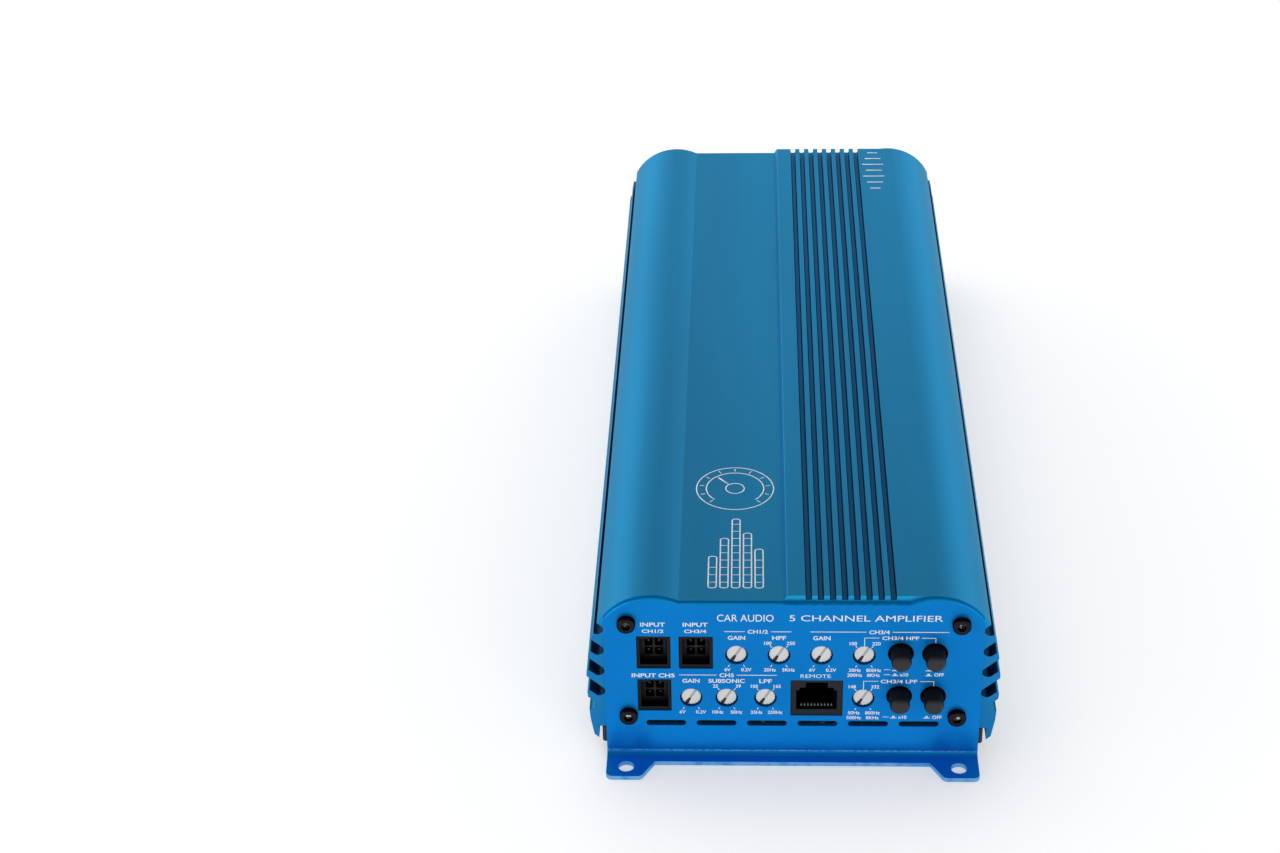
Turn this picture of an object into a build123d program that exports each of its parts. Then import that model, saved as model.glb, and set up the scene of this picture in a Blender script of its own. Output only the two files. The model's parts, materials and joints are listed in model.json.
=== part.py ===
from build123d import *
import os
from math import radians, sqrt, tan

os.makedirs("parts", exist_ok=True)

# A car amplifier. X runs across it, +Y from the control end to the terminal end, +Z up.
# The origin is on the mounting surface, under the middle of the case. Millimetres.

# ---------------------------------------------------------------- case sizes
body_length = 318.0            # the extruded shell, end to end
panel_width = 116.0            # the end panels; the shell's fins stand out past it
deck_height = 59.35            # plain part of the top, above the mounting surface
panel_sheet = 1.5              # end panel metal
tray_sheet = 1.2               # base tray metal
tray_height = 4.8              # underside of the base tray above the mounting surface

# ---------------------------------------------------------------- shell section
shoulder_rise = 1.95           # crown of each rounded shoulder above the deck
shoulder_radius = 18.5
shoulder_inset = 14.8          # crown line, inside the panel's side
band_rise = 1.75               # raised grooved band above the deck
band_start = -3.1              # left foot of the band's sloping step
band_slope = 1.2               # how far that step leans
groove_count = 8
groove_pitch = 3.66
groove_first = 4.6             # centre of the first groove
groove_width = 1.9
groove_depth = 1.65
top_wall = 3.55                # deck to ceiling
side_wall = 10.0               # inner wall face, inside the panel's side
fin_slot_count = 5
fin_slot_pitch = 7.8
fin_slot_width = 3.6
fin_slot_angle = 40.0          # the slots rise outwards
fin_slot_drop = 10.65          # first slot's middle below the deck
fin_slot_datum = 2.5           # where that middle is measured, outside the panel's side
fin_slot_start = 0.1           # a slot's inner end, outside the panel's side
last_slot_start = 3.1          # the lowest slot's inner end, past the tray's channel
fin_slot_reach = 12.0
fin_corner = 0.6
flank_rise = 7.7               # top of the flank above the shoulder's centre
flank_share = 0.88             # part of the bulge that is reached flank_drop further down
flank_drop = 11.5
flank_bulge = 5.6              # outermost fin, outside the panel's side
channel_width = 2.5            # groove under each side for the tray's edge
channel_roof = 11.0
skirt_top = 11.0               # foot of the fins, above the channel's roof
skirt_bottom = 3.0
skirt_lean = (0.1, 0.6)        # how far the skirt's two ends stand in from the fins
lip_thickness = 1.45
lip_drop = 4.6                 # lip's tip below the channel's roof
lip_taper = 1.4
rail_bottom = 6.0              # where the tray is screwed on
rail_width = 8.5
ledge_underside = 7.2
ledge_thickness = 2.4          # the main board stands on it
ceiling_corner = 3.0
ledge_reach = 16.0             # ledge tip, inside the panel's side
port_inset = 7.1               # screw ports, inside the panel's side
port_low = 16.65               # height of the lower screw ports
port_drop = 7.65               # upper screw ports below the deck
thread_radius = 1.5
screw_radius = 1.45            # shank in a thread
clear_radius = 1.7             # clearance hole for the same screw

# ---------------------------------------------------------------- end panels
panel_step = 0.75              # the shell's rim shows this much round the panel
panel_top_step = 0.65
bend_radius = 1.5
flange_depth = 4.2             # middle of the flange, from the panel's outer face
ear_depth = 11.5
ear_width = 11.0
ear_slope = 4.0
ear_corner = 2.0
ear_hole_radius = 2.5
ear_hole_inset = 6.2           # from the panel's side
ear_hole_depth = 6.67          # from the panel's outer face
head_radius = 2.85
head_height = 2.0
vent_length = 12.45
vent_width = 2.05
vent_pitch = 15.7
vent_count = 6
vent_height = 13.6

# ---------------------------------------------------------------- boards
board_thickness = 1.6
board_edge = 4.6               # main board's edge, inside the panel's side
slot_clearance = 0.1
board_screw_inset = 13.2       # from the panel's side
board_screw_end = 24.0         # from the shell's end
board_screw_inner = 70.0       # from the middle
base_screw_inset = 4.3
base_screw_end = 20.0
control_setback = 10.5         # control board's face behind the front panel
control_board_low = 12.8
control_board_high = 47.5
control_board_half = 47.3

# ---------------------------------------------------------------- controls: across, up
trimmers = {
    "gain_1_2": (-17.3, 39.85),
    "highpass_1_2": (-4.3, 39.85),
    "gain_3_4": (8.7, 39.85),
    "highpass_3_4": (21.75, 39.85),
    "gain_5": (-31.35, 23.4),
    "subsonic_5": (-20.35, 23.4),
    "lowpass_5": (-8.35, 23.4),
    "lowpass_3_4": (21.8, 23.4),
}
buttons = {
    "highpass_range": (32.85, 40.7),
    "highpass_bypass": (43.3, 40.7),
    "lowpass_range": (32.85, 24.4),
    "lowpass_bypass": (43.3, 24.4),
}
inputs = {"1_2": (-42.75, 40.7), "3_4": (-29.75, 40.7), "5": (-42.7, 24.4)}
trimmer_shaft_radius = 3.0
trimmer_hole_gap = 0.5         # between a shaft and the panel
trimmer_fit = 0.06             # between a shaft and its body
trimmer_recess = 0.75          # shaft face behind the panel face
trimmer_body = (9.4, 10.8)
trimmer_body_depth = 7.0
trimmer_collar = 1.2           # wall of the collar round the shaft
collar_height = 0.8
spline_end = 1.3               # splines stop this far in front of the body
driver_slot = (0.8, 0.7)       # width, depth
pointer_notch = (1.2, 1.5)
pointer_start = 0.62           # share of the shaft's radius
spline_count = 18
spline_radius = 0.24
pointer_angle = 30.0           # from straight down, towards the left
button_radius = 3.1
button_hole_gap = 0.9
button_dome = 1.7
button_seat = 1.9              # back of the cap, behind the panel face
button_stand = 6.2             # cap in front of the panel face
button_travel = 3.0
button_stem_radius = 1.65
button_body = 8.4
stem_gap = 0.1
stem_length = 6.1
input_width = 10.3
input_height = 12.0
input_gap = 0.1                # between a socket and its cut-out
input_stand = 0.4              # socket rim behind the panel face
input_recess = 3.3             # pin block behind the panel face
input_wall = (0.9, 1.2)        # side walls, top and bottom walls
input_key = (3.0, 1.6)
window_pitch = (3.2, 3.4)
window_size = (2.5, 2.7)
window_depth = 6.0
pin_width = 0.64
jack_across = 7.45
jack_up = 23.5
jack_width = 15.95
jack_height = 13.5
jack_stand = 0.3               # jack rim behind the panel face
jack_depth = 9.5
jack_floor = 4.6               # floor of the opening below the jack's middle
jack_steps = ((12.6, 7.4), (10.6, 8.4), (6.8, 10.4))   # widths and heights of the opening
jack_contacts = 10
jack_contact_pitch = 1.04

# ---------------------------------------------------------------- terminals
terminal_low = 20.5
terminal_high = 37.0
terminal_stand = 9.0           # past the rear panel's outer face
terminal_depth_inside = 13.5
entry_bottom = 24.4
speaker_poles = 10
speaker_pitch = 6.2
speaker_wall = 1.8             # between two entries
speaker_entry_height = 5.0
speaker_start = -47.0
terminal_space = 2.4           # between the two blocks
power_poles = ((11.2, 8.0, 7.6), (7.0, 4.4, 5.0), (11.2, 8.0, 7.6))   # pitch, entry width, height
cage_wall = 0.5
cage_top = 2.2
terminal_gap = 0.15

# ---------------------------------------------------------------- power stage
transistor_count = 8
transistor_pitch = 15.0
transistor_width = 10.0
transistor_thickness = 4.5
tab_thickness = 1.3
transistor_low = 17.5
transistor_high = 27.0
tab_high = 32.5
pad_thickness = 0.2
clamp_thickness = 1.5
clamp_height = 6.0
clamp_up = 24.0
clamp_screw_pitch = 30.0
clamp_screw_count = 5
chamber_wall = 2.5
chamber_width = 4.1
chamber_low = 21.0
chamber_drop = 12.35           # chamber's top below the deck

# ---------------------------------------------------------------- derived places
half_length = body_length / 2
half_width = panel_width / 2
front_face = -half_length - panel_sheet
rear_face = half_length + panel_sheet
crown_x = half_width - shoulder_inset
arc_z = deck_height + shoulder_rise - shoulder_radius
ceiling = deck_height - top_wall
wall_x = half_width - side_wall
lip_x = half_width + channel_width
port_x = half_width - port_inset
port_high = deck_height - port_drop
board_low = ledge_underside + ledge_thickness
board_high = board_low + board_thickness
ledge_x = half_width - ledge_reach
board_half = half_width - board_edge
board_screw_x = half_width - board_screw_inset
control_face = -half_length + control_setback
ports = [(x, z) for x in (-port_x, port_x) for z in (port_low, port_high)]


def upright(y):
    """A drawing plane across the amplifier at y: its x is X, its y is Z, it faces the front."""
    return Plane.XZ.offset(-y)


def save(piece, name):
    piece.part.label = name
    export_step(piece.part, f"parts/{name}.step")


def shoulder_at(z, radius):
    """Distance of a shoulder arc from the middle plane at height z."""
    return crown_x + sqrt(radius**2 - (z - arc_z) ** 2)


def deck_meets_shoulder(z, radius):
    """Where the arc comes down to a flat at height z on its inner side."""
    return crown_x - sqrt(radius**2 - (z - arc_z) ** 2)


def cap_screw(shank_length, head=head_radius, height=head_height, key=2.5):
    """Button-head hex screw: head up from the origin, shank down."""
    with BuildPart() as screw:
        Cylinder(head, height, align=(Align.CENTER, Align.CENTER, Align.MIN))
        fillet(screw.edges().filter_by(GeomType.CIRCLE).sort_by(Axis.Z)[-1], 0.35 * height)
        with BuildSketch(Plane.XY.offset(height)):
            RegularPolygon(key / 2, 6, major_radius=False)
        extrude(amount=-0.6 * height, mode=Mode.SUBTRACT)
        Cylinder(screw_radius, shank_length, align=(Align.CENTER, Align.CENTER, Align.MAX))
        chamfer(screw.edges().filter_by(GeomType.CIRCLE).sort_by(Axis.Z)[0], 0.35)
    return screw.part


# ================================================================ heatsink shell
flank_top = arc_z + flank_rise
flank_x = shoulder_at(flank_top, shoulder_radius)
fin_reach = half_width + flank_bulge
clamp_holes = [(clamp_screw_pitch * (i - (clamp_screw_count - 1) / 2)) for i in range(clamp_screw_count)]
board_screw_ends = half_length - board_screw_end
board_screw_spots = [
    (side * board_screw_x, y)
    for side in (-1, 1)
    for y in (-board_screw_ends, -board_screw_inner, board_screw_inner, board_screw_ends)
]
base_screw_x = half_width - base_screw_inset
base_screw_y = half_length - base_screw_end
base_screw_spots = [(side * base_screw_x, y) for side in (-1, 1) for y in (-base_screw_y, 0.0, base_screw_y)]
rail_x = half_width - rail_width

with BuildPart() as heatsink_shell:
    with BuildSketch(Plane.XZ) as section:
        with BuildLine():
            Line((0, ceiling), (0, deck_height))
            Line((0, deck_height), (deck_meets_shoulder(deck_height, shoulder_radius), deck_height))
            ThreePointArc(
                (deck_meets_shoulder(deck_height, shoulder_radius), deck_height),
                (crown_x, deck_height + shoulder_rise),
                (flank_x, flank_top),
            )
            ThreePointArc(
                (flank_x, flank_top),
                (half_width + flank_share * flank_bulge, flank_top - flank_drop),
                (fin_reach - skirt_lean[0], channel_roof + skirt_top),
            )
            Polyline(
                (fin_reach - skirt_lean[0], channel_roof + skirt_top),
                (fin_reach - skirt_lean[1], channel_roof + skirt_bottom),
                (lip_x + lip_thickness, channel_roof - lip_drop + lip_taper),
                (lip_x, channel_roof - lip_drop),
                (lip_x, channel_roof),
                (half_width, channel_roof),
                (half_width, rail_bottom),
                (rail_x, rail_bottom),
                (rail_x, ledge_underside),
                (ledge_x, ledge_underside),
                (ledge_x, board_low),
                (board_half + slot_clearance, board_low),
                (board_half + slot_clearance, board_high + slot_clearance),
                (wall_x, board_high + slot_clearance),
                (wall_x, ceiling),
                (0, ceiling),
            )
        make_face()
        fillet(section.vertices().sort_by_distance((wall_x, ceiling, 0))[0], ceiling_corner)
        # Slots between the fins: each rises outwards from a round inner end.
        for step in range(fin_slot_count):
            last = step == fin_slot_count - 1
            start = last_slot_start if last else fin_slot_start
            inner = half_width + start + fin_slot_width / 2
            middle = deck_height - fin_slot_drop - step * fin_slot_pitch
            rise = (inner - half_width - fin_slot_datum) * tan(radians(fin_slot_angle))
            with Locations((inner, middle + rise)):
                Circle(fin_slot_width / 2, mode=Mode.SUBTRACT)
                Rectangle(
                    fin_slot_reach,
                    fin_slot_width,
                    rotation=fin_slot_angle,
                    align=(Align.MIN, Align.CENTER),
                    mode=Mode.SUBTRACT,
                )
        fin_corners = section.vertices().filter_by_position(
            Axis.X, fin_reach - 1.6, fin_reach + 0.5
        ).filter_by_position(Axis.Y, channel_roof + 8.0, deck_height - 12.0)
        fillet(fin_corners, fin_corner)
        # Hollow chamber behind the wall that the transistors sit on.
        chamber_high = deck_height - chamber_drop
        with Locations((wall_x + chamber_wall, chamber_low)):
            Rectangle(
                chamber_width,
                chamber_high - chamber_low,
                align=(Align.MIN, Align.MIN),
                mode=Mode.SUBTRACT,
            )
        with Locations((port_x, port_low), (port_x, port_high)):
            Circle(thread_radius, mode=Mode.SUBTRACT)
        mirror(about=Plane.YZ)
        # Raised band on one half of the deck, with its lengthwise grooves.
        band_top = deck_height + band_rise
        with BuildLine():
            Polyline(
                (band_start, deck_height - 1),
                (band_start, deck_height),
                (band_start + band_slope, band_top),
                (crown_x, band_top),
                (crown_x, deck_height - 1),
                close=True,
            )
        make_face()
        fillet(section.vertices().sort_by_distance((band_start + band_slope, band_top, 0))[0], 0.5)
        with Locations(*[(groove_first + i * groove_pitch, band_top) for i in range(groove_count)]):
            RectangleRounded(groove_width, 2 * groove_depth, 0.6, mode=Mode.SUBTRACT)
    extrude(amount=half_length, both=True)
    with Locations(*[(x, y, board_low) for x, y in board_screw_spots]):
        Cylinder(
            thread_radius,
            2 * (board_low - rail_bottom),
            mode=Mode.SUBTRACT,
        )
    with Locations(*[(x, y, rail_bottom) for x, y in base_screw_spots]):
        Cylinder(
            thread_radius,
            board_low - rail_bottom - 0.1,
            align=(Align.CENTER, Align.CENTER, Align.MIN),
            mode=Mode.SUBTRACT,
        )
    for side in (-1, 1):
        with Locations(*[Location((side * wall_x, y, clamp_up), (0, 90, 0)) for y in clamp_holes]):
            Cylinder(thread_radius, 2 * chamber_wall + 1.0, mode=Mode.SUBTRACT)
save(heatsink_shell, "heatsink_shell")


# ================================================================ end panels
def end_panel(hand, cut_outs):
    """Folded end panel. hand is -1 at the control end and +1 at the terminal end."""
    inner = hand * half_length
    outer = inner + hand * panel_sheet
    bend_end = outer + hand * bend_radius
    bend_high = panel_sheet + bend_radius
    radius = shoulder_radius - panel_step
    top = deck_height - panel_top_step
    side_high = arc_z + sqrt(radius**2 - (half_width - crown_x) ** 2)
    with BuildPart() as panel:
        with BuildSketch(upright(inner)):
            with BuildLine():
                Line((0, bend_high), (0, top))
                Line((0, top), (deck_meets_shoulder(top, radius), top))
                ThreePointArc(
                    (deck_meets_shoulder(top, radius), top),
                    (crown_x, arc_z + radius),
                    (half_width, side_high),
                )
                Polyline((half_width, side_high), (half_width, bend_high), (0, bend_high))
            make_face()
            mirror(about=Plane.YZ)
        extrude(amount=-hand * panel_sheet)
        with BuildSketch(Plane.YZ.offset(-half_width)):
            with BuildLine():
                CenterArc((bend_end, bend_high), bend_radius, 270, 90 * hand * -1)
                CenterArc((bend_end, bend_high), bend_radius + panel_sheet, 270, 90 * hand * -1)
                Line((bend_end, panel_sheet), (bend_end, 0))
                Line((outer, bend_high), (inner, bend_high))
            make_face()
        extrude(amount=panel_width)
        with BuildSketch(Plane.XY):
            with BuildLine():
                Polyline(
                    (0, bend_end),
                    (half_width, bend_end),
                    (half_width, outer + hand * ear_depth),
                    (half_width - ear_width, outer + hand * ear_depth),
                    (half_width - ear_width - ear_slope, outer + hand * flange_depth),
                    (0, outer + hand * flange_depth),
                    close=True,
                )
            make_face()
            mirror(about=Plane.YZ)
        extrude(amount=panel_sheet)
        ear_edges = panel.edges().filter_by(Axis.Z).filter_by_position(
            Axis.Y, *sorted((outer + hand * (ear_depth - 0.5), outer + hand * (ear_depth + 0.5)))
        )
        fillet(ear_edges, ear_corner)
        with Locations(
            *[(side * (half_width - ear_hole_inset), outer + hand * ear_hole_depth, 0) for side in (-1, 1)]
        ):
            Cylinder(ear_hole_radius, 4 * panel_sheet, mode=Mode.SUBTRACT)
        with BuildSketch(upright(inner)):
            with Locations(*ports):
                Circle(clear_radius)
            for vent_z in (vent_height,) if hand < 0 else vent_rows:
                with Locations((0, vent_z)):
                    with GridLocations(vent_pitch, 1, vent_count, 1):
                        SlotOverall(vent_length, vent_width)
            for x, z, width, height in cut_outs:
                with Locations((x, z)):
                    if height:
                        RectangleRounded(width, height, 0.3)
                    else:
                        Circle(width)
        extrude(amount=-hand * panel_sheet, mode=Mode.SUBTRACT)
    return panel


vent_rows = (deck_height - 9.0, deck_height - 14.0)
light_spots = [(-4.0, 40.6), (4.0, 40.6)]
light_radius = 1.5
speaker_width = speaker_poles * speaker_pitch
speaker_pole = (speaker_pitch, speaker_pitch - speaker_wall, speaker_entry_height)
power_start = speaker_start + speaker_width + terminal_space
power_width = sum(pole[0] for pole in power_poles)
terminal_middle = (terminal_low + terminal_high) / 2
terminal_tall = terminal_high - terminal_low

trimmer_hole = trimmer_shaft_radius + trimmer_hole_gap
button_hole = button_radius + button_hole_gap
front_cuts = [(x, z, trimmer_hole, 0) for x, z in trimmers.values()]
front_cuts += [(x, z, button_hole, 0) for x, z in buttons.values()]
front_cuts += [(x, z, input_width + 2 * input_gap, input_height + 2 * input_gap) for x, z in inputs.values()]
front_cuts += [(jack_across, jack_up, jack_width + 2 * input_gap, jack_height + 2 * input_gap)]
front_panel = end_panel(-1, front_cuts)
save(front_panel, "front_panel")

rear_cuts = [(x, z, light_radius + terminal_gap, 0) for x, z in light_spots]
rear_cuts += [
    (start + width / 2, terminal_middle, width + 2 * terminal_gap, terminal_tall + 2 * terminal_gap)
    for start, width in ((speaker_start, speaker_width), (power_start, power_width))
]
rear_panel = end_panel(1, rear_cuts)
save(rear_panel, "rear_panel")

panel_screw = cap_screw(panel_sheet + 8.0)
for panel_name, y, turn in (("front", front_face, 90), ("rear", rear_face, -90)):
    with BuildPart() as panel_screws:
        with Locations(*[Location((x, y, z), (turn, 0, 0)) for x, z in ports]):
            add(panel_screw)
    save(panel_screws, f"{panel_name}_panel_screws")

# ================================================================ base tray
tray_x = half_width + 1.4
with BuildPart() as base_tray:
    with BuildSketch(Plane.XZ):
        with BuildLine():
            Polyline(
                (-tray_x, channel_roof - 0.5),
                (-tray_x, tray_height),
                (tray_x, tray_height),
                (tray_x, channel_roof - 0.5),
                (tray_x - tray_sheet, channel_roof - 0.5),
                (tray_x - tray_sheet, rail_bottom),
                (tray_sheet - tray_x, rail_bottom),
                (tray_sheet - tray_x, channel_roof - 0.5),
                close=True,
            )
        make_face()
    extrude(amount=half_length - 0.2, both=True)
    fillet(base_tray.edges().filter_by(Axis.Y).group_by(Axis.Z)[0], 0.9)
    with Locations(*[(x, y, tray_height) for x, y in base_screw_spots]):
        Cylinder(clear_radius, 4 * tray_sheet, mode=Mode.SUBTRACT)
save(base_tray, "base_tray")

base_screw = cap_screw(board_low - tray_height - 0.3, head_height * 1.3, 1.6)
with BuildPart() as base_screws:
    with Locations(*[Location((x, y, tray_height), (180, 0, 0)) for x, y in base_screw_spots]):
        add(base_screw)
save(base_screws, "base_screws")

# ================================================================ boards
with BuildPart() as main_board:
    with BuildSketch(Plane.XY.offset(board_low)):
        Rectangle(2 * board_half, body_length - 1.0)
        with Locations(*board_screw_spots):
            Circle(clear_radius, mode=Mode.SUBTRACT)
    extrude(amount=board_thickness)
save(main_board, "main_board")

board_screw = cap_screw(board_high - ledge_underside, 2.6, 1.8)
with BuildPart() as board_screws:
    with Locations(*[(x, y, board_high) for x, y in board_screw_spots]):
        add(board_screw)
save(board_screws, "board_screws")

with BuildPart() as control_board:
    with BuildSketch(upright(control_face)):
        with Locations((0, (control_board_low + control_board_high) / 2)):
            RectangleRounded(2 * control_board_half, control_board_high - control_board_low, 1.0)
    extrude(amount=-board_thickness)
save(control_board, "control_board")

header_pins = 20
with BuildPart() as board_link_header:
    header_face = control_face + board_thickness
    with Locations((0, header_face + 1.0, board_high)):
        Box(header_pins * 2.54 + 1, 5.0, 6.0, align=(Align.CENTER, Align.MIN, Align.MIN))
    with Locations((0, header_face, board_high + 4.0)):
        with GridLocations(2.54, 1, header_pins, 1):
            Box(pin_width, 1.0, pin_width, align=(Align.CENTER, Align.MIN, Align.CENTER))
save(board_link_header, "board_link_header")


# ================================================================ trimmers
trimmer_front = control_face - trimmer_body_depth
shaft_front = front_face + trimmer_recess
collar_front = trimmer_front - collar_height
spline_back = trimmer_front - spline_end
shaft_back = spline_back + trimmer_body_depth
pointer_turn = 270 - pointer_angle


def trimmer(name, x, z):
    """One trimmer: a square body on the control board and a slotted, splined shaft."""
    with BuildPart() as body:
        with BuildSketch(upright(control_face)):
            with Locations((x, z)):
                RectangleRounded(*trimmer_body, 0.5)
        extrude(amount=trimmer_body_depth)
        with BuildSketch(upright(trimmer_front)):
            with Locations((x, z)):
                Circle(trimmer_shaft_radius + trimmer_collar)
        extrude(amount=collar_height)
        with BuildSketch(upright(collar_front)):
            with Locations((x, z)):
                Circle(trimmer_shaft_radius + trimmer_fit)
        extrude(amount=collar_front - shaft_back - 0.6, mode=Mode.SUBTRACT)
    save(body, f"trimmer_body_{name}")

    with BuildPart() as shaft:
        with BuildSketch(upright(shaft_front)):
            with Locations((x, z)):
                Circle(trimmer_shaft_radius)
                with PolarLocations(trimmer_shaft_radius + 0.05, spline_count):
                    Circle(spline_radius, mode=Mode.SUBTRACT)
        extrude(amount=shaft_front - spline_back)
        with BuildSketch(upright(spline_back)):
            with Locations((x, z)):
                Circle(trimmer_shaft_radius)
        extrude(amount=-trimmer_body_depth)
        with BuildSketch(upright(shaft_front)):
            with Locations((x, z)):
                Rectangle(2 * trimmer_shaft_radius + 1, driver_slot[0], rotation=pointer_turn)
        extrude(amount=-driver_slot[1], mode=Mode.SUBTRACT)
        with BuildSketch(upright(shaft_front)):
            with Locations((x, z)):
                with PolarLocations(pointer_start * trimmer_shaft_radius, 1, start_angle=pointer_turn):
                    Rectangle(trimmer_shaft_radius, pointer_notch[0], align=(Align.MIN, Align.CENTER))
        extrude(amount=-pointer_notch[1], mode=Mode.SUBTRACT)
    save(shaft, f"trimmer_shaft_{name}")


for trimmer_name, (trimmer_x, trimmer_z) in trimmers.items():
    trimmer(trimmer_name, trimmer_x, trimmer_z)

# ================================================================ push buttons
cap_back = front_face + button_seat
switch_front = cap_back + button_travel + 0.2


def push_button(name, x, z):
    """One latching push button: a switch body on the control board and its round cap."""
    with BuildPart() as body:
        with BuildSketch(upright(control_face)):
            with Locations((x, z)):
                RectangleRounded(button_body, button_body, 0.4)
        extrude(amount=control_face - switch_front)
        with BuildSketch(upright(switch_front)):
            with Locations((x, z)):
                Circle(button_stem_radius + stem_gap)
        extrude(amount=-(control_face - switch_front - 0.7), mode=Mode.SUBTRACT)
    save(body, f"switch_body_{name}")

    with BuildPart() as cap:
        with BuildSketch(upright(cap_back)):
            with Locations((x, z)):
                Circle(button_radius)
        extrude(amount=cap_back - front_face + button_stand)
        fillet(cap.edges().sort_by(Axis.Y)[0], button_dome)
        with BuildSketch(upright(cap_back)):
            with Locations((x, z)):
                Circle(button_stem_radius)
        extrude(amount=-stem_length)
    save(cap, f"button_cap_{name}")


for button_name, (button_x, button_z) in buttons.items():
    push_button(button_name, button_x, button_z)

# ================================================================ input sockets
input_face = front_face + input_stand
pin_block = front_face + input_recess
mouth_width = input_width - 2 * input_wall[0]
mouth_height = input_height - 2 * input_wall[1]
for input_name, (input_x, input_z) in inputs.items():
    with BuildPart() as socket:
        with BuildSketch(upright(input_face)):
            with Locations((input_x, input_z)):
                RectangleRounded(input_width, input_height, 0.3)
        extrude(amount=-(control_face - input_face))
        with BuildSketch(upright(input_face)):
            with Locations((input_x, input_z)):
                Rectangle(mouth_width, mouth_height)
                with Locations((0, mouth_height / 2)):
                    Rectangle(*input_key)
        extrude(amount=-(pin_block - input_face), mode=Mode.SUBTRACT)
        with BuildSketch(upright(pin_block)):
            with Locations((input_x, input_z)):
                with GridLocations(*window_pitch, 2, 2):
                    RectangleRounded(*window_size, 0.3)
        extrude(amount=-window_depth, mode=Mode.SUBTRACT)
    save(socket, f"input_socket_{input_name}")

with BuildPart() as input_socket_pins:
    with BuildSketch(upright(pin_block + window_depth)):
        with Locations(*inputs.values()):
            with GridLocations(*window_pitch, 2, 2):
                Rectangle(pin_width, pin_width)
    extrude(amount=window_depth - 0.8)
save(input_socket_pins, "input_socket_pins")

# ================================================================ remote jack
jack_face = front_face + jack_stand
contact_floor = jack_up - jack_floor
with BuildPart() as remote_jack:
    with BuildSketch(upright(jack_face)):
        with Locations((jack_across, jack_up)):
            RectangleRounded(jack_width, jack_height, 0.3)
    extrude(amount=-(control_face - jack_face))
    with BuildSketch(upright(jack_face)):
        with Locations((jack_across, contact_floor)):
            for step_width, step_height in jack_steps:
                Rectangle(step_width, step_height, align=(Align.CENTER, Align.MIN))
    extrude(amount=-jack_depth, mode=Mode.SUBTRACT)
save(remote_jack, "remote_jack")

with BuildPart() as remote_jack_contacts:
    for i in range(jack_contacts):
        across = jack_across + (i - (jack_contacts - 1) / 2) * jack_contact_pitch
        with BuildSketch(Plane.YZ.offset(across - 0.2)):
            with BuildLine():
                Polyline(
                    (jack_face + 1.0, contact_floor),
                    (jack_face + 1.0, contact_floor + 0.4),
                    (jack_face + 1.6, contact_floor + 0.9),
                    (jack_face + jack_depth, contact_floor + 3.6),
                    (jack_face + jack_depth, contact_floor + 3.1),
                    (jack_face + 2.0, contact_floor + 0.4),
                    (jack_face + 2.0, contact_floor),
                    close=True,
                )
            make_face()
        extrude(amount=0.4)
save(remote_jack_contacts, "remote_jack_contacts")


# ================================================================ rear terminals
def terminals(name, start, poles):
    """A terminal block with a metal cage and a set screw for each pole."""
    width = sum(pole[0] for pole in poles)
    face = rear_face + terminal_stand
    pocket_depth = terminal_stand - 0.4
    places = []
    edge = start
    for pitch, entry_width, entry_height in poles:
        places.append((edge + pitch / 2, entry_width, entry_height))
        edge += pitch

    with BuildPart() as block:
        with BuildSketch(upright(face)):
            with Locations((start + width / 2, terminal_middle)):
                RectangleRounded(width, terminal_tall, 0.5)
        extrude(amount=terminal_stand + terminal_depth_inside)
        with BuildSketch(Plane.XY.offset(board_high)):
            with Locations((start + width / 2, half_length - 0.5)):
                Rectangle(width, 10.0, align=(Align.CENTER, Align.MAX))
        extrude(amount=terminal_low - board_high)
        for x, entry_width, entry_height in places:
            set_radius = 0.36 * entry_width
            with BuildSketch(upright(face)):
                with Locations((x, entry_bottom - cage_wall - 0.05)):
                    Rectangle(
                        entry_width + 2 * cage_wall + 0.1,
                        entry_height + cage_wall + cage_top + 0.1,
                        align=(Align.CENTER, Align.MIN),
                    )
            extrude(amount=pocket_depth, mode=Mode.SUBTRACT)
            with Locations((x, rear_face + terminal_stand / 2, terminal_high)):
                Cylinder(
                    set_radius + 0.25,
                    terminal_high - entry_bottom - entry_height,
                    align=(Align.CENTER, Align.CENTER, Align.MAX),
                    mode=Mode.SUBTRACT,
                )
    save(block, f"{name}_terminal_block")

    with BuildPart() as cages:
        for x, entry_width, entry_height in places:
            with BuildSketch(upright(face - 0.8)):
                with Locations((x, entry_bottom - cage_wall)):
                    Rectangle(
                        entry_width + 2 * cage_wall,
                        entry_height + cage_wall + cage_top,
                        align=(Align.CENTER, Align.MIN),
                    )
                with Locations((x, entry_bottom)):
                    Rectangle(
                        entry_width,
                        entry_height,
                        align=(Align.CENTER, Align.MIN),
                        mode=Mode.SUBTRACT,
                    )
            extrude(amount=pocket_depth - 1.0)
            with Locations((x, rear_face + terminal_stand / 2, entry_bottom + entry_height)):
                Cylinder(
                    0.36 * entry_width + 0.05,
                    2 * cage_top + 1.0,
                    mode=Mode.SUBTRACT,
                )
    save(cages, f"{name}_terminal_cages")

    with BuildPart() as screws:
        for x, entry_width, entry_height in places:
            set_radius = 0.36 * entry_width
            low = entry_bottom + entry_height
            with Locations((x, rear_face + terminal_stand / 2, low)):
                Cylinder(
                    set_radius,
                    terminal_high - 0.8 - low,
                    align=(Align.CENTER, Align.CENTER, Align.MIN),
                )
            with Locations((x, rear_face + terminal_stand / 2, terminal_high - 0.8)):
                Box(2.4 * set_radius, 0.24 * set_radius + 0.2, 1.4, mode=Mode.SUBTRACT)
    save(screws, f"{name}_terminal_screws")


terminals("speaker", speaker_start, [speaker_pole] * speaker_poles)
terminals("power", power_start, power_poles)

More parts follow.
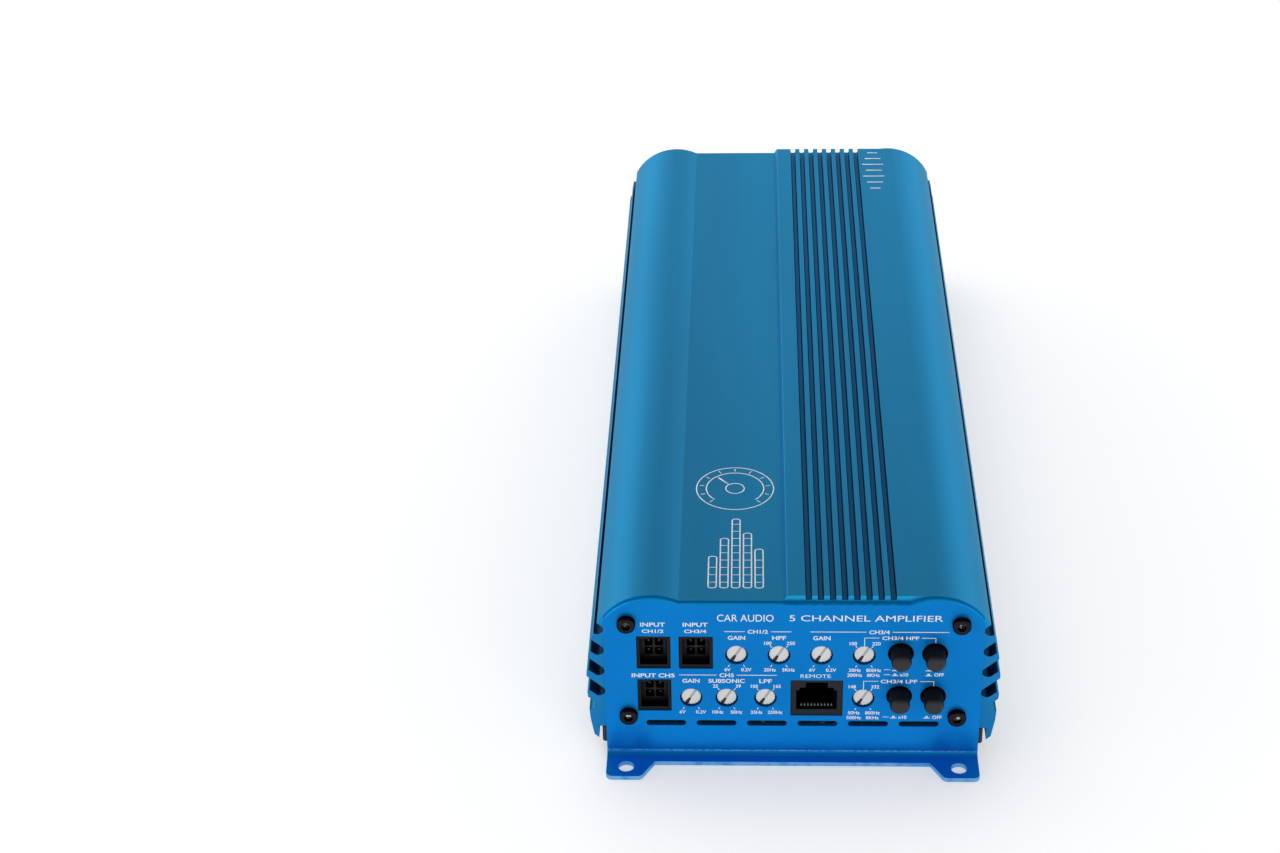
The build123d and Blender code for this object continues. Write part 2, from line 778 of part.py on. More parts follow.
# ================================================================ status light pipes
pipe_y = half_length - 20.0
with BuildPart() as status_light_pipes:
    for pipe_x, pipe_z in light_spots:
        with BuildLine() as pipe_path:
            FilletPolyline(
                (pipe_x, rear_face + 0.8, pipe_z),
                (pipe_x, pipe_y, pipe_z),
                (pipe_x, pipe_y, board_high),
                radius=4.0,
            )
        with BuildSketch(Plane(origin=(pipe_x, rear_face + 0.8, pipe_z), z_dir=(0, -1, 0))):
            Circle(light_radius)
        sweep(path=pipe_path.line)
save(status_light_pipes, "status_light_pipes")


# ================================================================ power stage
def wall_side(hand):
    """Transistors standing against one side wall; hand is -1 on the left."""
    spots = [(i - (transistor_count - 1) / 2) * transistor_pitch for i in range(transistor_count)]
    back = wall_x - pad_thickness
    with BuildPart() as transistors:
        for y in spots:
            with Locations((hand * back, y, transistor_low)):
                Box(
                    tab_thickness,
                    transistor_width,
                    tab_high - transistor_low,
                    align=(Align.MIN if hand < 0 else Align.MAX, Align.CENTER, Align.MIN),
                )
                Box(
                    transistor_thickness,
                    transistor_width,
                    transistor_high - transistor_low,
                    align=(Align.MIN if hand < 0 else Align.MAX, Align.CENTER, Align.MIN),
                )
            with Locations(Location((hand * back, y, tab_high - 3.0), (0, 90, 0))):
                Cylinder(1.8, 4 * tab_thickness, mode=Mode.SUBTRACT)
            with Locations((hand * (back - 2.4), y, board_high)):
                with GridLocations(1, 2.54, 1, 3):
                    Box(
                        0.5,
                        0.8,
                        transistor_low - board_high,
                        align=(Align.CENTER, Align.CENTER, Align.MIN),
                    )
    return transistors


power_transistors_left = wall_side(-1)
save(power_transistors_left, "power_transistors_left")
power_transistors_right = wall_side(1)
save(power_transistors_right, "power_transistors_right")

clamp_length = (clamp_screw_count - 1) * clamp_screw_pitch + 8.0
clamp_face = wall_x - pad_thickness - transistor_thickness
with BuildPart() as insulator_pads:
    for side in (-1, 1):
        with BuildSketch(Plane.YZ.offset(side * wall_x)):
            with Locations((0, (transistor_low + tab_high) / 2)):
                Rectangle(clamp_length, tab_high - transistor_low + 1.5)
            with Locations(*[(y, clamp_up) for y in clamp_holes]):
                Circle(clear_radius, mode=Mode.SUBTRACT)
        extrude(amount=-side * pad_thickness)
save(insulator_pads, "insulator_pads")

with BuildPart() as clamp_bars:
    for side in (-1, 1):
        with BuildSketch(Plane.YZ.offset(side * clamp_face)):
            with Locations((0, clamp_up)):
                Rectangle(clamp_length, clamp_height)
            with Locations(*[(y, clamp_up) for y in clamp_holes]):
                Circle(clear_radius, mode=Mode.SUBTRACT)
        extrude(amount=-side * clamp_thickness)
save(clamp_bars, "clamp_bars")

clamp_screw = cap_screw(clamp_thickness + transistor_thickness + pad_thickness + chamber_wall)
with BuildPart() as clamp_screws:
    for side in (-1, 1):
        with Locations(
            *[
                Location((side * (clamp_face - clamp_thickness), y, clamp_up), (0, -side * 90, 0))
                for y in clamp_holes
            ]
        ):
            add(clamp_screw)
save(clamp_screws, "clamp_screws")


# ================================================================ parts on the main board
def can(radius, height):
    """An electrolytic capacitor: crimped can with a scored top, standing on the origin."""
    with BuildPart() as capacitor:
        with BuildSketch(Plane.XZ):
            with BuildLine():
                Polyline(
                    (0, 0),
                    (radius, 0),
                    (radius, 1.6),
                    (radius - 0.7, 2.4),
                    (radius, 3.2),
                    (radius, height - 1.2),
                    (radius - 1.2, height),
                    (0, height),
                    close=True,
                )
            make_face()
        revolve(axis=Axis.Z)
        with BuildSketch(Plane.XY.offset(height)):
            Rectangle(1.5 * radius, 0.5)
            Rectangle(0.5, 1.5 * radius)
        extrude(amount=-0.4, mode=Mode.SUBTRACT)
    return capacitor.part


def wound_ring(radius, wire, height, turns):
    """A ring core with its turns of wire as ribs, standing on the origin."""
    middle = 0.66 * radius
    core = 0.5 * radius
    with BuildPart() as ring:
        with BuildSketch(Plane.XZ):
            with Locations((middle, height / 2)):
                Rectangle(core, height - 2 * wire)
        revolve(axis=Axis.Z)
        with PolarLocations(middle, turns):
            with Locations((0, 0, height / 2)):
                Box(core + 2 * wire, 0.9 * wire, height)
    return ring.part


floor_z = board_high
ring_parts = {
    "power_transformer": (wound_ring(22.0, 2.0, 22.0, 16), [(0, -78)]),
    "input_choke": (wound_ring(13.0, 2.0, 12.0, 10), [(24, 70)]),
    "output_inductors": (wound_ring(8.4, 1.4, 9.0, 8), [(18 * i - 36, 101) for i in range(5)]),
}
for ring_name, (ring_part, spots) in ring_parts.items():
    with BuildPart() as rings:
        with Locations(*[(x, y, floor_z) for x, y in spots]):
            add(ring_part)
    save(rings, ring_name)

with BuildPart() as rail_capacitors:
    with Locations((0, -24, floor_z)):
        with GridLocations(22, 22, 3, 2):
            add(can(9.0, 28.0))
save(rail_capacitors, "rail_capacitors")

with BuildPart() as supply_capacitors:
    with Locations((-20, 66, floor_z)):
        with GridLocations(20, 20, 2, 2):
            add(can(8.0, 32.0))
save(supply_capacitors, "supply_capacitors")

with BuildPart() as film_capacitors:
    with Locations((0, 26, floor_z)):
        with GridLocations(14, 1, 5, 1):
            Box(8.0, 18.0, 14.0, align=(Align.CENTER, Align.CENTER, Align.MIN))
    fillet(film_capacitors.edges().filter_by(Axis.Z), 0.8)
    fillet(film_capacitors.edges().group_by(Axis.Z)[-1], 0.5)
save(film_capacitors, "film_capacitors")

card_y = control_face + board_thickness + 14.0
with BuildPart() as driver_card:
    with BuildSketch(upright(card_y)):
        with Locations((0, board_high)):
            Rectangle(60.0, 30.0, align=(Align.CENTER, Align.MIN))
    extrude(amount=-board_thickness)
    with BuildSketch(upright(card_y + board_thickness)):
        with Locations((0, board_high + 16.0)):
            with GridLocations(15.0, 1, 4, 1):
                Rectangle(9.0, 10.0)
    extrude(amount=-1.5)
save(driver_card, "driver_card")
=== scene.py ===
import json
from math import cos, pi, radians, sin

import bmesh
import bpy
from mathutils import Matrix, Vector

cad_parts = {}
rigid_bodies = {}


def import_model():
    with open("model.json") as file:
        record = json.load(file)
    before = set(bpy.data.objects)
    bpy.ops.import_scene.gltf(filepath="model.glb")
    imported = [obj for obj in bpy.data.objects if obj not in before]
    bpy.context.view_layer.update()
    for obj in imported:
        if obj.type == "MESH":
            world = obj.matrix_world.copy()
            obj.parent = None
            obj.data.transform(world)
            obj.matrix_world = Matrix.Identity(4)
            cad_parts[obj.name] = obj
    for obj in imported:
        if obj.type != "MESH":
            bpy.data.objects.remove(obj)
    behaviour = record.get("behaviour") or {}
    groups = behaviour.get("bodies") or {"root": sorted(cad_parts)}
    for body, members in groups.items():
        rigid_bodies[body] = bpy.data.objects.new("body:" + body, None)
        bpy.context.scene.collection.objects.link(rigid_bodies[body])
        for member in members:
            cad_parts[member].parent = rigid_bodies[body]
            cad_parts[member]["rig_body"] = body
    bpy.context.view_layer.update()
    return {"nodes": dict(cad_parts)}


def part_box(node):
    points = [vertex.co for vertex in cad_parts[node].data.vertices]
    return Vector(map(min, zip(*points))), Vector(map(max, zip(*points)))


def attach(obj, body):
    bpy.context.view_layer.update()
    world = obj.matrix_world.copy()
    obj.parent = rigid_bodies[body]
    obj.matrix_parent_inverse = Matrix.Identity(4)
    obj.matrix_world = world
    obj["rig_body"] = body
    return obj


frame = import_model()
nodes = frame["nodes"]
MM = 0.001

# ================================================================ places read from the frame
SHEET = 1.5 * MM                         # end panel metal
SHOULDER_RISE = 1.95 * MM                # rounded shoulders above the deck
BAND_RISE = 1.75 * MM                    # grooved band above the deck
shell_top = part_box("heatsink_shell")[1]
HALF_LENGTH = shell_top.y
HALF_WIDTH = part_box("front_panel")[1].x
FRONT_FACE = -HALF_LENGTH - SHEET
REAR_FACE = HALF_LENGTH + SHEET
DECK = shell_top.z - SHOULDER_RISE
BAND = DECK + BAND_RISE


def middle(node):
    low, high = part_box(node)
    return (low + high) / 2


# ================================================================ camera
CAMERA_PLACE = Vector((-13.9, -768.7, 492.7)) * MM
YAW, DOWN, ROLL = 2.933, 31.337, -1.493  # degrees

camera_data = bpy.data.cameras.new("camera")
camera_data.sensor_width = 36.0
camera_data.lens = 69.25
camera = bpy.data.objects.new("camera", camera_data)
bpy.context.scene.collection.objects.link(camera)
camera_turn = (
    Matrix.Rotation(radians(YAW), 4, "Z")
    @ Matrix.Rotation(radians(90 - DOWN), 4, "X")
    @ Matrix.Rotation(radians(ROLL), 4, "Z")
)
camera.matrix_world = Matrix.Translation(CAMERA_PLACE) @ camera_turn
bpy.context.scene.camera = camera
bpy.context.scene.view_settings.view_transform = "Standard"


# ================================================================ materials
class Finish:
    """A procedural material while it is being wired up."""

    def __init__(self, name, roughness=0.5, metallic=0.0, **sockets):
        self.material = bpy.data.materials.new(name)
        self.material.use_nodes = True
        self.nodes = self.material.node_tree.nodes
        self.links = self.material.node_tree.links
        self.shader = self.nodes["Principled BSDF"]
        self.shader.inputs["Roughness"].default_value = roughness
        self.shader.inputs["Metallic"].default_value = metallic
        for socket, value in sockets.items():
            self.shader.inputs[socket.replace("_", " ")].default_value = value
        place = self.add("ShaderNodeTexCoord")
        self.coords = place.outputs["Object"]
        self.normal = place.outputs["Normal"]

    def add(self, kind, **settings):
        node = self.nodes.new(kind)
        for key, value in settings.items():
            setattr(node, key, value)
        return node

    def noise(self, scale, detail=3.0, stretch=(1, 1, 1)):
        mapping = self.add("ShaderNodeMapping")
        mapping.inputs["Scale"].default_value = stretch
        self.links.new(self.coords, mapping.inputs["Vector"])
        noise = self.add("ShaderNodeTexNoise")
        noise.inputs["Scale"].default_value = scale
        noise.inputs["Detail"].default_value = detail
        self.links.new(mapping.outputs["Vector"], noise.inputs["Vector"])
        return noise.outputs["Fac"]

    def ramp(self, value, low, high, to_low=0.0, to_high=1.0):
        node = self.add("ShaderNodeMapRange", interpolation_type="SMOOTHSTEP")
        self.links.new(value, node.inputs["Value"])
        node.inputs["From Min"].default_value = low
        node.inputs["From Max"].default_value = high
        node.inputs["To Min"].default_value = to_low
        node.inputs["To Max"].default_value = to_high
        return node.outputs["Result"]

    def maths(self, operation, first, second=0.0):
        node = self.add("ShaderNodeMath", operation=operation)
        for socket, value in zip(node.inputs, (first, second)):
            if isinstance(value, (int, float)):
                socket.default_value = value
            else:
                self.links.new(value, socket)
        return node.outputs["Value"]

    def both(self, first, second):
        return self.maths("MULTIPLY", first, second)

    def blend(self, factor, first, second):
        node = self.add("ShaderNodeMix", data_type="RGBA")
        self.links.new(factor, node.inputs["Factor"])
        for socket, value in ((node.inputs[6], first), (node.inputs[7], second)):
            if isinstance(value, tuple):
                socket.default_value = (*value, 1.0)
            else:
                self.links.new(value, socket)
        return node.outputs[2]

    def axis(self, name, of=None):
        node = self.add("ShaderNodeSeparateXYZ")
        self.links.new(of or self.coords, node.inputs[0])
        return node.outputs[name]

    def reach(self, name, of=None):
        """Distance from the middle along an axis, or the size of a normal's part along it."""
        return self.maths("ABSOLUTE", self.axis(name, of))

    def colour(self, output):
        self.links.new(output, self.shader.inputs["Base Color"])

    def rough(self, output):
        self.links.new(output, self.shader.inputs["Roughness"])

    def bump(self, height, depth, strength=1.0):
        node = self.add("ShaderNodeBump")
        node.inputs["Distance"].default_value = depth
        node.inputs["Strength"].default_value = strength
        self.links.new(height, node.inputs["Height"])
        self.links.new(node.outputs["Normal"], self.shader.inputs["Normal"])


def shade(colour, factor):
    return tuple(min(1.0, channel * factor) for channel in colour)


def plain(
    name, colour, roughness, metallic=0.0, spread=0.12, grain=1800.0, depth=0.02, patch=60.0, **sockets
):
    """Moulded, plated or painted finish: patchy colour and gloss over a fine grain `depth` mm deep."""
    made = Finish(name, roughness, metallic, **sockets)
    patches = made.noise(patch)
    made.colour(made.blend(patches, shade(colour, 1 - spread), shade(colour, 1 + spread)))
    made.rough(made.ramp(made.noise(patch * 2.3), 0.3, 0.7, roughness - 0.05, roughness + 0.05))
    made.bump(made.noise(grain, 2.0), depth * MM, 0.6)
    return made.material


CASE_BLUE = (0.006, 0.215, 0.425)
CASE_EDGE = (0.35, 0.66, 0.80, 1.0)      # tint of the case's glancing reflections
GROOVE_SHADE_BLUE = (0.003, 0.070, 0.170)
SLOT_SHADE_NAVY = (0.002, 0.022, 0.070)
RIM_CYAN_HIGHLIGHT = (0.002, 0.36, 0.66)           # sawn ends of the case along the top, with a painted highlight
FIN_CYAN = (0.002, 0.205, 0.50)          # their own paler blue, down the fins
PANEL_BLUE = (0.004, 0.215, 0.625)
PANEL_OUTLINE_HIGHLIGHT = (0.004, 0.48, 0.86)          # painted highlight on the edge round the panels
PANEL_EDGE = (0.05, 0.40, 0.85, 1.0)     # tint of the panels' glancing reflections
PANEL_FOLD_HIGHLIGHT = (0.22, 0.62, 0.95)          # painted highlight along the fold
FOOT_EDGE_HIGHLIGHT = (0.20, 0.48, 0.80)           # and round the feet
DARK_EDGE = (0.2, 0.2, 0.22, 1.0)        # keeps black metal black at a glance


def anodised_case():
    """Satin anodised extrusion: drawn streaks, painted shade in the grooves and slots, pale sawn ends
    with a painted highlight along the top.
    """
    made = Finish(
        "anodised_case", 0.42, 1.0, Specular_Tint=CASE_EDGE, Coat_Weight=0.3, Coat_Roughness=0.5
    )
    streaks = made.noise(1400.0, 2.0, (1, 0.004, 1))
    bands = made.ramp(made.noise(38.0, 1.0, (1, 0.12, 1)), 0.35, 0.65)
    colour = made.blend(bands, shade(CASE_BLUE, 0.97), shade(CASE_BLUE, 1.03))
    colour = made.blend(made.ramp(streaks, 0.3, 0.7, 0.0, 0.35), colour, shade(CASE_BLUE, 0.9))
    across, up = made.axis("X"), made.axis("Z")

    # Painted shade: the grooves in the band are painted darker towards their floors.
    mouth, deep = BAND - 0.2 * MM, BAND - 0.9 * MM
    left, right, fade = 2.0 * MM, 32.4 * MM, 0.6 * MM
    in_band = made.both(made.ramp(across, left, left + fade), made.ramp(across, right, right - fade))
    groove_shade = made.both(made.ramp(up, mouth, deep), in_band)
    colour = made.blend(groove_shade, colour, GROOVE_SHADE_BLUE)

    # Painted shade: the slots between the fins are painted dark navy as well.
    outer, inner = HALF_WIDTH + 4.4 * MM, HALF_WIDTH + 2.0 * MM
    top, below = DECK - 9.0 * MM, DECK - 11.0 * MM
    slot = made.both(made.ramp(made.reach("X"), outer, inner), made.ramp(up, top, below))
    colour = made.blend(slot, colour, SLOT_SHADE_NAVY)

    # The sawn ends are a paler blue of their own, painted brighter along the top as a highlight.
    sawn = made.ramp(made.reach("Y"), HALF_LENGTH - 0.12 * MM, HALF_LENGTH - 0.05 * MM)
    rim = made.blend(made.ramp(up, DECK - 12 * MM, DECK - 3 * MM), FIN_CYAN, RIM_CYAN_HIGHLIGHT)
    made.colour(made.blend(sawn, colour, rim))

    grain = made.noise(4200.0, 2.0)
    made.rough(made.ramp(made.noise(25.0, 2.0, (1, 0.1, 1)), 0.3, 0.7, 0.38, 0.46))
    made.bump(made.maths("ADD", grain, made.both(streaks, 0.25)), 0.010 * MM, 0.6)
    return made.material


def anodised_panel():
    """Satin blue of the end panels, painted lighter towards the bottom, with painted highlights on the
    fold, the flange, the outline and the feet's edges.
    """
    made = Finish("anodised_panel", 0.42, 0.72, Specular_Tint=PANEL_EDGE)
    fine = made.noise(3800.0, 2.0)
    across, along, up = made.reach("X"), made.reach("Y"), made.axis("Z")
    patches = made.ramp(made.noise(45.0), 0.3, 0.7, 0.0, 0.2)
    colour = made.blend(patches, PANEL_BLUE, shade(PANEL_BLUE, 0.88))
    # Painted light: the panel is painted lighter towards the bottom.
    colour = made.blend(made.ramp(up, 30 * MM, 6 * MM), colour, shade(PANEL_BLUE, 1.18))

    # Painted highlight: a broken bright line along the fold, where the bend catches the light.
    bend = made.both(made.ramp(up, 2.55 * MM, 2.75 * MM), made.ramp(up, 3.15 * MM, 2.95 * MM))
    face = made.ramp(along, REAR_FACE - 0.2 * MM, REAR_FACE - 0.1 * MM)
    fold_highlight = made.both(made.both(bend, face), made.ramp(made.noise(900.0, 2.0), 0.38, 0.62, 0.25, 1.0))
    colour = made.blend(fold_highlight, colour, PANEL_FOLD_HIGHLIGHT)

    # Painted light: the flat flange's upward faces are painted paler than the upright part.
    above_flange = made.ramp(up, 4 * MM, 5 * MM)
    on_flange = made.ramp(up, 5 * MM, 4 * MM)
    flat = made.ramp(made.axis("Z", made.normal), 0.7, 0.9)
    colour = made.blend(made.both(flat, on_flange), colour, shade(PANEL_BLUE, 1.6))

    # Painted highlight: the edge round the outline is painted bright, but not inside the openings.
    side_on = made.ramp(made.reach("Y", made.normal), 0.6, 0.4)
    top = made.ramp(up, 48 * MM, 49 * MM)
    side = made.ramp(across, HALF_WIDTH - 1.5 * MM, HALF_WIDTH - 0.5 * MM)
    edge = made.both(made.both(side_on, made.maths("MAXIMUM", top, side)), above_flange)
    colour = made.blend(edge, colour, PANEL_OUTLINE_HIGHLIGHT)

    # Painted highlight: the feet are painted pale along their cut edges.
    upright = made.ramp(made.reach("Z", made.normal), 0.6, 0.4)
    foot = made.both(made.ramp(along, REAR_FACE + 0.3 * MM, REAR_FACE + 0.8 * MM), upright)
    foot = made.both(foot, made.ramp(made.noise(260.0, 2.0), 0.3, 0.6, 0.35, 1.0))
    made.colour(made.blend(foot, colour, FOOT_EDGE_HIGHLIGHT))
    made.rough(made.ramp(made.noise(70.0), 0.3, 0.7, 0.38, 0.46))
    made.bump(fine, 0.012 * MM, 0.7)
    return made.material


def socket_screws():
    """Black oxide, with a painted glint on the recess floors."""
    made = Finish("black_oxide_steel", 0.22, 1.0, Specular_Tint=DARK_EDGE)
    face_out = made.both(made.axis("Y", made.normal), made.axis("Y"))
    head = max(-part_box("front_panel_screws")[0].y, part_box("rear_panel_screws")[1].y)
    recess = made.both(
        made.ramp(face_out, 0.5 * HALF_LENGTH, 0.8 * HALF_LENGTH),
        made.ramp(made.reach("Y"), head - 0.8 * MM, head - 1.0 * MM),
    )
    # Painted glint: the recess floors are painted pale in patches.
    recess_glint = made.both(recess, made.ramp(made.noise(900.0, 2.0), 0.42, 0.6))
    dark = made.blend(made.noise(60.0), (0.014, 0.014, 0.017), (0.024, 0.024, 0.028))
    made.colour(made.blend(recess_glint, dark, (0.75, 0.77, 0.8)))
    made.rough(made.ramp(made.noise(140.0), 0.3, 0.7, 0.16, 0.28))
    made.bump(made.noise(2500.0, 2.0), 0.015 * MM, 0.6)
    return made.material


def circuit_board():
    """Green solder mask with faint tracks and tinned specks."""
    made = Finish("circuit_board", 0.35, 0.0)
    tracks = made.add("ShaderNodeTexBrick", offset=0.37)
    made.links.new(made.coords, tracks.inputs["Vector"])
    tracks.inputs["Scale"].default_value = 130.0
    tracks.inputs["Mortar Size"].default_value = 0.06
    tracks.inputs["Color1"].default_value = (0.010, 0.085, 0.035, 1)
    tracks.inputs["Color2"].default_value = (0.014, 0.110, 0.045, 1)
    tracks.inputs["Mortar"].default_value = (0.03, 0.20, 0.08, 1)
    specks = made.ramp(made.noise(500.0, 0.0), 0.70, 0.74)
    made.colour(made.blend(specks, tracks.outputs["Color"], (0.55, 0.55, 0.5)))
    made.bump(tracks.outputs["Fac"], 0.03 * MM, 0.5)
    return made.material


def moulded_front(name, face, inside, lip):
    """Black nylon of a front connector, its deep cavities painted darker than its face as shade (lip in
    mm).
    """
    made = Finish(name, 0.5, 0.0, Specular_IOR_Level=0.2)
    rim = FRONT_FACE + lip * MM
    # Painted shade: deeper in, the nylon is painted darker.
    depth = made.ramp(made.axis("Y"), rim + 0.1 * MM, rim + 0.9 * MM)
    patches = made.blend(made.noise(60.0), shade(face, 0.85), shade(face, 1.15))
    made.colour(made.blend(depth, patches, inside))
    made.bump(made.noise(2200.0, 2.0), 0.02 * MM, 0.6)
    return made.material


def button_cap():
    """Black cap: a satin face, and sides painted near black as shade."""
    made = Finish("button_rubber", 0.34, 0.0, Specular_IOR_Level=0.35)
    # Painted shade: faces turned away from the front are painted near black.
    face = made.ramp(made.both(made.axis("Y", made.normal), -1.0), 0.35, 0.8)
    patches = made.blend(made.noise(70.0), (0.011, 0.013, 0.017), (0.016, 0.018, 0.023))
    made.colour(made.blend(face, (0.0012, 0.0015, 0.003), patches))
    made.rough(made.ramp(face, 0.0, 1.0, 0.7, 0.30))
    made.bump(made.noise(2600.0, 2.0), 0.02 * MM, 0.6)
    return made.material


def jack_contacts():
    """Spring contacts of the jack: bright where they turn up at the mouth, painted near black further in
    as shade.
    """
    made = Finish("jack_contacts", 0.3, 1.0)
    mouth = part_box("remote_jack_contacts")[0]
    # Painted shade: the contacts are painted near black away from the mouth.
    near = made.ramp(made.axis("Y"), mouth.y + 1.4 * MM, mouth.y + 0.9 * MM)
    raised = made.ramp(made.axis("Z"), mouth.z + 0.5 * MM, mouth.z + 0.62 * MM)
    tip = made.both(near, raised)
    made.colour(made.blend(tip, (0.010, 0.009, 0.008), (1.0, 0.96, 0.88)))
    made.bump(made.noise(2500.0), 0.01 * MM, 0.5)
    return made.material


finishes = {
    "case": anodised_case(),
    "panel": anodised_panel(),
    "board": circuit_board(),
    "print": plain("white_print", (0.88, 0.90, 0.92), 0.55, 0.0, 0.03, 2500.0, 0.01),
    "engraved": plain("bright_engraving", (0.86, 0.87, 0.88), 0.45, 0.25, 0.04, 3000.0, 0.01),
    "tray": plain("black_powder_coat", (0.018, 0.018, 0.020), 0.5, 0.0, 0.15, 1500.0, 0.05),
    "screw": socket_screws(),
    "plastic": plain("black_nylon", (0.010, 0.011, 0.016), 0.42, 0.0, 0.15, 2200.0, 0.02),
    "socket": moulded_front("socket_nylon", (0.004, 0.0045, 0.007), (0.0012, 0.0012, 0.002), 0.4),
    "jack": moulded_front("jack_nylon", (0.012, 0.015, 0.020), (0.0012, 0.0014, 0.002), 0.3),
    "button": button_cap(),
    "shaft": plain("white_shaft", (0.80, 0.80, 0.78), 0.42, 0.0, 0.04, 2000.0, 0.02),
    "slot_shade_floor": plain("slot_shadow", (0.46, 0.46, 0.45), 0.5, 0.0, 0.06, 2000.0, 0.02),
    # rims of the socket windows: plain nylon, paler than the socket's face
    "rim": plain("pale_nylon_rim", (0.016, 0.016, 0.017), 0.5, 0.0, 0.2, 2200.0, 0.02),
    "notch_shade": plain("notch_shade_black", (0.008, 0.008, 0.010), 0.5, 0.0, 0.1, 2000.0, 0.02),
    "pins": plain("socket_pins", (0.055, 0.05, 0.04), 0.4, 1.0, 0.1, 2000.0, 0.01),
    "contacts": jack_contacts(),
    "tinned": plain("tinned_metal", (0.72, 0.72, 0.70), 0.3, 1.0, 0.05, 2000.0, 0.015),
    "zinc": plain("zinc_plate", (0.58, 0.59, 0.60), 0.36, 1.0, 0.08, 1600.0, 0.02),
    "sleeve": plain("capacitor_sleeve", (0.015, 0.025, 0.06), 0.3, 0.0, 0.1, 800.0, 0.02),
    "film": plain("film_box", (0.42, 0.06, 0.03), 0.32, 0.0, 0.1, 700.0, 0.04),
    "copper": plain("enamelled_copper", (0.60, 0.22, 0.07), 0.3, 0.9, 0.12, 900.0, 0.03),
    "silicone": plain("silicone_pad", (0.40, 0.43, 0.46), 0.6, 0.0, 0.05, 900.0, 0.02),
    "lens": plain(
        "clear_light_pipe", (0.85, 0.92, 0.95), 0.12, 0.0, 0.02, 1200.0, 0.01, Transmission_Weight=0.8
    ),
}


# ================================================================ mesh helpers
def put(name, mesh, finish, body="case"):
    """Makes a finished piece of a mesh that already lies in its place."""
    piece = bpy.data.objects.new(name, mesh)
    bpy.context.scene.collection.objects.link(piece)
    mesh.materials.clear()
    mesh.materials.append(finishes[finish])
    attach(piece, body)
    return piece


CAPITAL = 0.729                          # height of the font's capitals at size 1
PROUD = 0.004                            # printing above its surface, millimetres


def flat_text(form, words, across, up, cap, width=None, bold=0.020):
    """Adds printed words to a mesh, centred, with capitals `cap` mm high, in the XY plane."""
    data = bpy.data.curves.new("words", "FONT")
    data.body = words
    data.align_x = "CENTER"
    # An M's sharp inner corners would cross if its outline were widened.
    data.offset = 0.0 if "M" in words else bold
    data.extrude = PROUD
    data.resolution_u = 4
    holder = bpy.data.objects.new("words", data)
    mesh = bpy.data.meshes.new_from_object(holder)
    scale = cap / CAPITAL
    xs = [v.co.x for v in mesh.vertices]
    stretch = width / ((max(xs) - min(xs)) * scale) if width else 1.0
    centre = (max(xs) + min(xs)) / 2
    mesh.transform(
        Matrix.Translation((across * MM, (up - cap / 2) * MM, 0))
        @ Matrix.Diagonal((scale * stretch * MM, scale * MM, MM, 1))
        @ Matrix.Translation((-centre, 0, 0))
    )
    form.from_mesh(mesh)
    bpy.data.objects.remove(holder)
    bpy.data.curves.remove(data)
    bpy.data.meshes.remove(mesh)


LINE_RISE = 0.15                         # a line's height as a share of its width


def stroke(form, points, width, closed=False):
    """Adds a thin rounded line through points, in millimetres on the XY plane, to a mesh."""
    data = bpy.data.curves.new("stroke", "CURVE")
    data.dimensions = "3D"
    data.bevel_depth = width / 2
    data.bevel_resolution = 1
    data.use_fill_caps = not closed
    line = data.splines.new("POLY")
    line.points.add(len(points) - 1)
    for point, (across, up) in zip(line.points, points):
        point.co = (across, up, 0, 1)
    line.use_cyclic_u = closed
    holder = bpy.data.objects.new("stroke", data)
    mesh = bpy.data.meshes.new_from_object(holder)
    mesh.transform(Matrix.Diagonal((MM, MM, LINE_RISE * MM, 1)))
    form.from_mesh(mesh)
    bpy.data.objects.remove(holder)
    bpy.data.curves.remove(data)
    bpy.data.meshes.remove(mesh)


def arc(across, up, radius, start, end, steps=24):
    """Points along an arc, angles in degrees from +X."""
    turns = [radians(start + (end - start) * i / steps) for i in range(steps + 1)]
    return [(across + radius * cos(turn), up + radius * sin(turn)) for turn in turns]


def spoke(form, across, up, angle, start, end, width):
    """Adds a line pointing outwards from a centre, between two radii."""
    inner = arc(across, up, start, angle, angle, 1)[0]
    outer = arc(across, up, end, angle, angle, 1)[0]
    stroke(form, [inner, outer], width)


def rounded(across, up, width, height, corner):
    """Points round a rectangle with rounded corners, centred at across, up."""
    points = []
    for right, top, start in ((1, 1, 0), (-1, 1, 90), (-1, -1, 180), (1, -1, 270)):
        points += arc(
            across + right * (width / 2 - corner),
            up + top * (height / 2 - corner),
            corner,
            start,
            start + 90,
            5,
        )
    return points


def finished(form, name):
    """Closes a form's seams, turns its faces outwards and makes it a mesh."""
    bmesh.ops.remove_doubles(form, verts=form.verts, dist=0.0002 * MM)
    bmesh.ops.recalc_face_normals(form, faces=form.faces)
    mesh = bpy.data.meshes.new(name)
    form.to_mesh(mesh)
    form.free()
    return mesh


def break_edges(form, width):
    """Rounds every edge of a small block, width in millimetres."""
    bmesh.ops.bevel(
        form,
        geom=form.edges[:],
        offset=width * MM,
        offset_type="OFFSET",
        segments=2,
        profile=0.5,
        material=-1,
        affect="EDGES",
    )


FRONT_PLANE = Matrix.Translation((0, FRONT_FACE, 0)) @ Matrix.Rotation(pi / 2, 4, "X")
DECK_PLANE = Matrix.Translation((0, 0, DECK))
BAND_PLANE = Matrix.Translation((0, 0, BAND))


